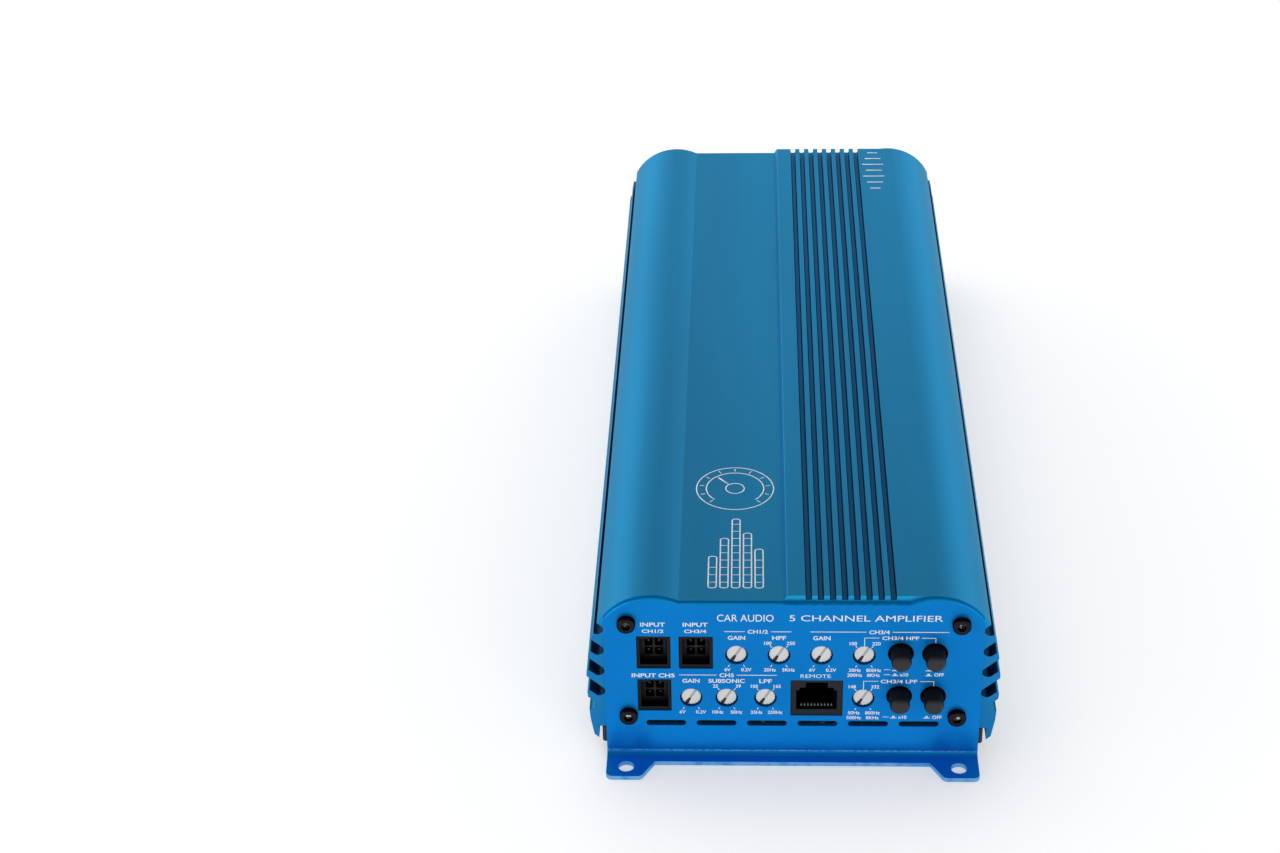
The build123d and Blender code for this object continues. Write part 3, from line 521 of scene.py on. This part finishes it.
# ================================================================ finishes of the machined parts
NODE_FINISHES = {
    "heatsink_shell": ("case", "anodised_blue"),
    "front_panel": ("panel", "panel_blue"),
    "rear_panel": ("panel", "panel_blue"),
    "front_panel_screws": ("screw", "black_oxide"),
    "rear_panel_screws": ("screw", "black_oxide"),
    "base_tray": ("tray", "black_steel"),
    "base_screws": ("screw", "black_oxide"),
    "main_board": ("board", "board_green"),
    "control_board": ("board", "board_green"),
    "driver_card": ("board", "board_green"),
    "board_screws": ("zinc", "zinc_steel"),
    "clamp_screws": ("zinc", "zinc_steel"),
    "clamp_bars": ("zinc", "zinc_steel"),
    "board_link_header": ("plastic", "black_plastic"),
    "trimmer_body": ("plastic", "black_plastic"),
    "trimmer_shaft": ("shaft", "white_plastic"),
    "switch_body": ("plastic", "black_plastic"),
    "button_cap": ("button", "button_black"),
    "input_socket_pins": ("pins", "tinned_steel"),
    "input_socket": ("socket", "black_plastic"),
    "remote_jack_contacts": ("contacts", "contact_gold"),
    "remote_jack": ("jack", "black_plastic"),
    "speaker_terminal_block": ("plastic", "black_plastic"),
    "power_terminal_block": ("plastic", "black_plastic"),
    "speaker_terminal_cages": ("tinned", "tinned_steel"),
    "power_terminal_cages": ("tinned", "tinned_steel"),
    "speaker_terminal_screws": ("zinc", "zinc_steel"),
    "power_terminal_screws": ("zinc", "zinc_steel"),
    "status_light_pipes": ("lens", "clear_pipe"),
    "power_transistors": ("plastic", "transistor_black"),
    "insulator_pads": ("silicone", "pad_grey"),
    "power_transformer": ("copper", "copper_wire"),
    "input_choke": ("copper", "copper_wire"),
    "output_inductors": ("copper", "copper_wire"),
    "rail_capacitors": ("sleeve", "capacitor_sleeve"),
    "supply_capacitors": ("sleeve", "capacitor_sleeve"),
    "film_capacitors": ("film", "film_box"),
}

for node, piece in nodes.items():
    key = max((name for name in NODE_FINISHES if node.startswith(name)), key=len)
    finish, slot = NODE_FINISHES[key]
    piece.data.materials.clear()
    piece.data.materials.append(finishes[finish])


# ================================================================ printing on the front panel
CAP = 1.25                               # height of the scale numbers, millimetres
NAME = 1.5                               # and of the names
RULE = 0.30                              # width of the rules
TICK = 0.32


def front_printing():
    """White function names, scales and brackets, each placed from its own control."""
    form = bmesh.new()

    def spot(node):
        centre = middle(node) / MM
        return centre.x, centre.z

    def words(text, across, up, cap=CAP, width=None):
        flat_text(form, text, across, up, cap, width)

    def rule(*points, width=RULE):
        stroke(form, points, width)

    # Input sockets and their channel names.
    for socket, channels, width in (("1_2", "CH1/2", 6.6), ("3_4", "CH3/4", 6.8)):
        across, up = spot(f"input_socket_{socket}")
        words("INPUT", across - 0.1, up + 10.6, NAME, 7.6)
        words(channels, across - 0.1, up + 8.1, 1.3, width)
    across, up = spot("input_socket_5")
    words("INPUT CH5", across - 0.3, up + 7.6, NAME, 13.3)

    # Each trimmer: its name and how wide that is, the scale above, and one or two scale rows below.
    scales = {
        "gain_1_2": ("GAIN", 5.3, "", "", (("6V", "0.2V"),)),
        "highpass_1_2": ("HPF", 4.2, "100", "250", (("20Hz", "5KHz"),)),
        "gain_3_4": ("GAIN", 5.3, "", "", (("6V", "0.2V"),)),
        "highpass_3_4": ("", 0, "100", "220", (("20Hz", "800Hz"), ("200Hz", "8KHz"))),
        "gain_5": ("GAIN", 5.3, "", "", (("6V", "0.2V"),)),
        "subsonic_5": ("SUBSONIC", 11.2, "25", "39", (("10Hz", "50Hz"),)),
        "lowpass_5": ("LPF", 3.9, "105", "165", (("35Hz", "250Hz"),)),
        "lowpass_3_4": ("", 0, "148", "332", (("50Hz", "800Hz"), ("500Hz", "8KHz"))),
    }
    row_pitch = 1.9
    for name, (heading, width, left, right, rows) in scales.items():
        across, up = spot(f"trimmer_body_{name}")
        if heading:
            words(heading, across, up + 6.6, NAME, width)
        for step, (low, high) in enumerate(rows):
            words(low, across - 2.75, up - 5.5 - row_pitch * step)
            words(high, across + 3.0, up - 5.5 - row_pitch * step)
        for angle in (240, 300):
            spoke(form, across, up, angle, 4.3, 5.1, TICK)
        if left:
            words(left, across - 3.45, up + 4.6)
            words(right, across + 3.6, up + 4.6)
            for angle in (126, 54):
                spoke(form, across, up, angle, 3.8, 4.6, TICK)

    # Channel groups: a name on a long rule over the controls it covers.
    def group(text, width, across, up, left, right):
        words(text, across, up, 1.4, width)
        space = width / 2 + 0.9
        rule((left, up), (across - space, up))
        rule((across + space, up), (right, up))

    gain_x, gain_z = spot("trimmer_body_gain_1_2")
    pass_x = spot("trimmer_body_highpass_1_2")[0]
    group("CH1/2", 6.2, (gain_x + pass_x) / 2, gain_z + 8.9, gain_x - 3.8, pass_x + 3.7)
    gain_x = spot("trimmer_body_gain_3_4")[0]
    switch_x = spot("switch_body_highpass_bypass")[0]
    group("CH3/4", 6.2, (gain_x + switch_x) / 2 + 0.15, gain_z + 8.9, gain_x - 3.5, switch_x + 4.0)
    gain_x, gain_z = spot("trimmer_body_gain_5")
    pass_x = spot("trimmer_body_lowpass_5")[0]
    group("CH5", 4.4, (gain_x + pass_x) / 2 - 0.5, gain_z + 8.8, gain_x - 3.7, pass_x + 3.5)
    words("REMOTE", middle("remote_jack").x / MM - 0.4, gain_z + 8.6, 1.4, 9.3)

    # Filters of the third and fourth channels: a bracket from the trimmer to the bypass switch.
    for kind, text in (("highpass", "CH3/4 HPF"), ("lowpass", "CH3/4 LPF")):
        knob_x, knob_z = spot(f"trimmer_body_{kind}_3_4")
        range_x, range_z = spot(f"switch_body_{kind}_range")
        bypass_x = spot(f"switch_body_{kind}_bypass")[0]
        up = knob_z + 6.7
        words(text, range_x - 0.2, up, 1.35, 11.2)
        rule((knob_x, up - 3.2), (knob_x, up), (knob_x + 4.5, up))
        rule((range_x + 6.2, up), (bypass_x, up), (bypass_x, up - 1.8))
        # Switch positions: a pressed and a released cap, drawn as little steps.
        last = range_z - (8.0 if kind == "highpass" else 8.1)
        rows = (range_z - 6.1, last) if kind == "highpass" else (last,)
        for row in rows:
            rule((range_x - 4.9, row), (range_x - 3.0, row), width=0.25)
            foot = row - 0.4
            head = row + (0.45 if row == last else 0.0)
            for cap_x in (range_x - 1.5, bypass_x - 1.7):
                rule((cap_x - 1.0, foot), (cap_x + 1.0, foot), width=0.35)
                rule((cap_x, foot), (cap_x, head), width=0.9)
        words("x10", range_x + 1.2, last)
        words("OFF", bypass_x + 1.5, last)

    # Heading over everything.
    heading_up = DECK / MM - 5.45
    flat_text(form, "CAR AUDIO", -14.6, heading_up, 2.7, 17.2, 0.0)
    flat_text(form, "5 CHANNEL AMPLIFIER", 22.0, heading_up, 2.3, 46.5)
    mesh = finished(form, "front_printing")
    mesh.transform(FRONT_PLANE)
    put("front_printing", mesh, "print")


front_printing()


# ================================================================ bright engraving on the deck
ENGRAVED_LINE = 0.42


def deck_engraving():
    """Outlined level bars, stepped across, with a ring dial behind them."""
    form = bmesh.new()
    near = -HALF_LENGTH / MM + 6.5       # end nearest the controls
    left, pitch, bar = -26.0, 3.6, 2.5
    for i, length in enumerate((17, 27, 38, 30, 21)):
        across = left + bar / 2 + i * pitch
        outline = rounded(across, near + length / 2, bar, length, 0.9)
        stroke(form, outline, ENGRAVED_LINE, closed=True)
        for step in range(3, length - 2, 4):
            stroke(form, [(across - bar / 2, near + step), (across + bar / 2, near + step)], 0.28)
    centre = (-18.0, near + 56.0)
    reach, hub, hand = 12.5, 3.0, 130
    stroke(form, arc(*centre, reach, 0, 360, 72)[:-1], ENGRAVED_LINE, closed=True)
    stroke(form, arc(*centre, reach - 3.2, -45, 225, 54), ENGRAVED_LINE)
    stroke(form, arc(*centre, hub, 0, 360, 32)[:-1], ENGRAVED_LINE, closed=True)
    for i in range(11):
        spoke(form, *centre, -45 + 27 * i, reach - 2.4, reach - 0.9, 0.35)
    spoke(form, *centre, hand, hub, reach - 4.0, 0.6)
    mesh = finished(form, "deck_engraving")
    mesh.transform(DECK_PLANE)
    put("deck_engraving", mesh, "engraved")


def band_engraving():
    """Short bars in a row beside the band's far end."""
    form = bmesh.new()
    across, first, pitch = 37, HALF_LENGTH / MM - 37, 5.5
    for i, length in enumerate((4.0, 6.5, 9.0, 6.5, 9.0, 6.5, 4.0)):
        along = first + pitch * i
        stroke(form, [(across - length / 2, along), (across + length / 2, along)], 0.8)
    mesh = finished(form, "band_engraving")
    mesh.transform(BAND_PLANE)
    put("band_engraving", mesh, "engraved")


deck_engraving()
band_engraving()


# ================================================================ painted shade in the shafts' pointer notches and slots
POINTER_TURN = radians(240)


def shaft_block(name, kind, size, taper, corner, place, finish):
    """A small rounded block let into a shaft's face; taper narrows its inner end."""
    node = f"trimmer_shaft_{name}"
    low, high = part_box(node)
    centre = (low + high) / 2
    form = bmesh.new()
    bmesh.ops.create_cube(form, size=1.0)
    bmesh.ops.scale(form, vec=[edge * MM for edge in size], verts=form.verts)
    inner = [vert for vert in form.verts if vert.co.x < 0]
    bmesh.ops.scale(form, vec=(1, taper, 1), verts=inner)
    break_edges(form, corner)
    mesh = finished(form, f"{kind}_{name}")
    mesh.transform(
        Matrix.Translation((centre.x, low.y, centre.z))
        @ Matrix.Rotation(pi / 2, 4, "X")
        @ Matrix.Rotation(POINTER_TURN, 4, "Z")
        @ Matrix.Translation([step * MM for step in place])
    )
    put(f"{kind}_{name}", mesh, finish, nodes[node]["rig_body"])


for node in nodes:
    if node.startswith("trimmer_shaft_"):
        name = node.removeprefix("trimmer_shaft_")
        # Painted shade: a black block fills the pointer notch, widest at the rim.
        size, taper = (2.1, 1.35, 0.68), 0.85 / 1.35
        shaft_block(name, "notch_shade", size, taper, 0.06, (1.95, 0, -0.32), "notch_shade")
        # The driver slot's floor, painted grey as shade, where the slot is shallow and soft-edged.
        size = (3.6, 0.8, 0.5)
        shaft_block(name, "slot_shade_floor", size, 1.0, 0.05, (-1.0, 0, -0.34), "slot_shade_floor")


# ================================================================ rims of the input windows
def window_rims(name):
    """Thin pale rims round the four contact windows of one input socket."""
    centre = middle(f"input_socket_{name}")
    reach_x, reach_z = 3.2, 3.4          # pitch of the windows
    rim, block = 0.34, 3.3               # rim's width, and the contact block behind the panel face
    form = bmesh.new()
    for step in (-1, 0, 1):
        stroke(form, [(step * reach_x, -reach_z), (step * reach_x, reach_z)], rim)
        stroke(form, [(-reach_x, step * reach_z), (reach_x, step * reach_z)], rim)
    mesh = finished(form, f"window_rims_{name}")
    place = Matrix.Translation((centre.x, FRONT_FACE + block * MM, centre.z))
    mesh.transform(place @ Matrix.Rotation(pi / 2, 4, "X"))
    put(f"window_rims_{name}", mesh, "rim", "case")


for socket in ("1_2", "3_4", "5"):
    window_rims(socket)


# ================================================================ printing on the rear panel
def rear_printing():
    """White names round the terminals and status lights, read from behind."""
    form = bmesh.new()
    speakers_low, speakers_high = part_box("speaker_terminal_block")
    top = speakers_high.z / MM
    poles, channels = 10, 5
    pitch = (speakers_high.x - speakers_low.x) / MM / poles
    first = speakers_low.x / MM + pitch / 2
    for pole in range(poles):
        flat_text(form, "+-"[pole % 2], -(first + pitch * pole), top + 1.3, 1.1)
    for channel in range(channels):
        across = -(first + pitch * (2 * channel + 0.5))
        flat_text(form, f"CH{channels - channel}", across, top + 6.2, 1.25)
    power_low, power_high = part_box("power_terminal_block")
    for name, share in (("+12V", 0.19), ("REM", 0.5), ("GND", 0.81)):
        across = -(power_low.x + (power_high.x - power_low.x) * share) / MM
        flat_text(form, name, across, top + 2.2, 1.6)
    heading = DECK / MM - 4.6
    for name, low, high in (("SPEAKERS", speakers_low, speakers_high), ("POWER", power_low, power_high)):
        across = -(low.x + high.x) / 2 / MM
        flat_text(form, name, across, heading, 2.2)
    lights_low, lights_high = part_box("status_light_pipes")
    level = lights_high.z / MM - 1.5     # middle of each light pipe's face
    flat_text(form, "ON", 2.2 - lights_low.x / MM, level, 1.2)
    flat_text(form, "PROTECT", -4.8 - lights_high.x / MM, level, 1.2)
    mesh = finished(form, "rear_printing")
    mesh.transform(
        Matrix.Translation((0, REAR_FACE, 0))
        @ Matrix.Rotation(pi, 4, "Z")
        @ Matrix.Rotation(pi / 2, 4, "X")
    )
    put("rear_printing", mesh, "print")


rear_printing()


# ================================================================ floor and light
FLOOR_REACH = 12.0

floor_finish = Finish("pale_floor", 0.9)
floor_finish.shader.inputs["Base Color"].default_value = (0.93, 0.93, 0.93, 1)
floor_finish.shader.inputs["Specular IOR Level"].default_value = 0.1
floor_finish.shader.inputs["Emission Color"].default_value = (1, 1, 1, 1)
floor_finish.shader.inputs["Emission Strength"].default_value = 0.4
floor_form = bmesh.new()
bmesh.ops.create_grid(floor_form, x_segments=1, y_segments=1, size=FLOOR_REACH)
floor_data = bpy.data.meshes.new("floor")
floor_form.to_mesh(floor_data)
floor_form.free()
floor_data.materials.append(floor_finish.material)
floor = bpy.data.objects.new("floor", floor_data)
bpy.context.scene.collection.objects.link(floor)


def studio():
    """A pale room, dim overhead, brighter behind the amplifier and a little brighter on its left."""
    world = bpy.data.worlds.new("studio")
    world.use_nodes = True
    tree = world.node_tree
    direction = tree.nodes.new("ShaderNodeTexCoord")
    part = tree.nodes.new("ShaderNodeSeparateXYZ")
    tree.links.new(direction.outputs["Generated"], part.inputs[0])

    rise = tree.nodes.new("ShaderNodeMapRange")
    rise.interpolation_type = "SMOOTHSTEP"
    rise.inputs["From Min"].default_value = 0.30      # sine of the height above the horizon
    rise.inputs["From Max"].default_value = 0.68
    rise.inputs["To Min"].default_value = 1.62
    rise.inputs["To Max"].default_value = 0.30
    tree.links.new(part.outputs["Z"], rise.inputs["Value"])

    behind = tree.nodes.new("ShaderNodeMath")
    behind.operation = "MULTIPLY_ADD"
    behind.inputs[1].default_value = 0.34
    behind.inputs[2].default_value = 0.72
    tree.links.new(part.outputs["Y"], behind.inputs[0])
    aside = tree.nodes.new("ShaderNodeMath")
    aside.operation = "MULTIPLY_ADD"
    aside.inputs[1].default_value = -0.13
    tree.links.new(part.outputs["X"], aside.inputs[0])
    tree.links.new(behind.outputs["Value"], aside.inputs[2])

    strength = tree.nodes.new("ShaderNodeMath")
    strength.operation = "MULTIPLY"
    tree.links.new(rise.outputs["Result"], strength.inputs[0])
    tree.links.new(aside.outputs["Value"], strength.inputs[1])
    sky = tree.nodes["Background"]
    sky.inputs["Color"].default_value = (0.97, 0.98, 1.0, 1)
    tree.links.new(strength.outputs["Value"], sky.inputs["Strength"])
    return world


def softbox(name, place, aim, size, power):
    """A soft light, in metres and watts, that shows in no reflection."""
    data = bpy.data.lights.new(name, "AREA")
    data.shape = "RECTANGLE"
    data.size, data.size_y = size
    data.energy = power
    lamp = bpy.data.objects.new(name, data)
    bpy.context.scene.collection.objects.link(lamp)
    lamp.location = place
    lamp.rotation_euler = (Vector(aim) - Vector(place)).to_track_quat("-Z", "Y").to_euler()
    lamp.visible_glossy = False


bpy.context.scene.world = studio()
softbox("top_box", (-0.25, 0.35, 1.1), (0, 0, 0), (1.2, 0.9), 4.0)
softbox("front_box", (0.5, -1.2, 0.7), (0, -0.1, 0), (0.7, 0.5), 2.5)
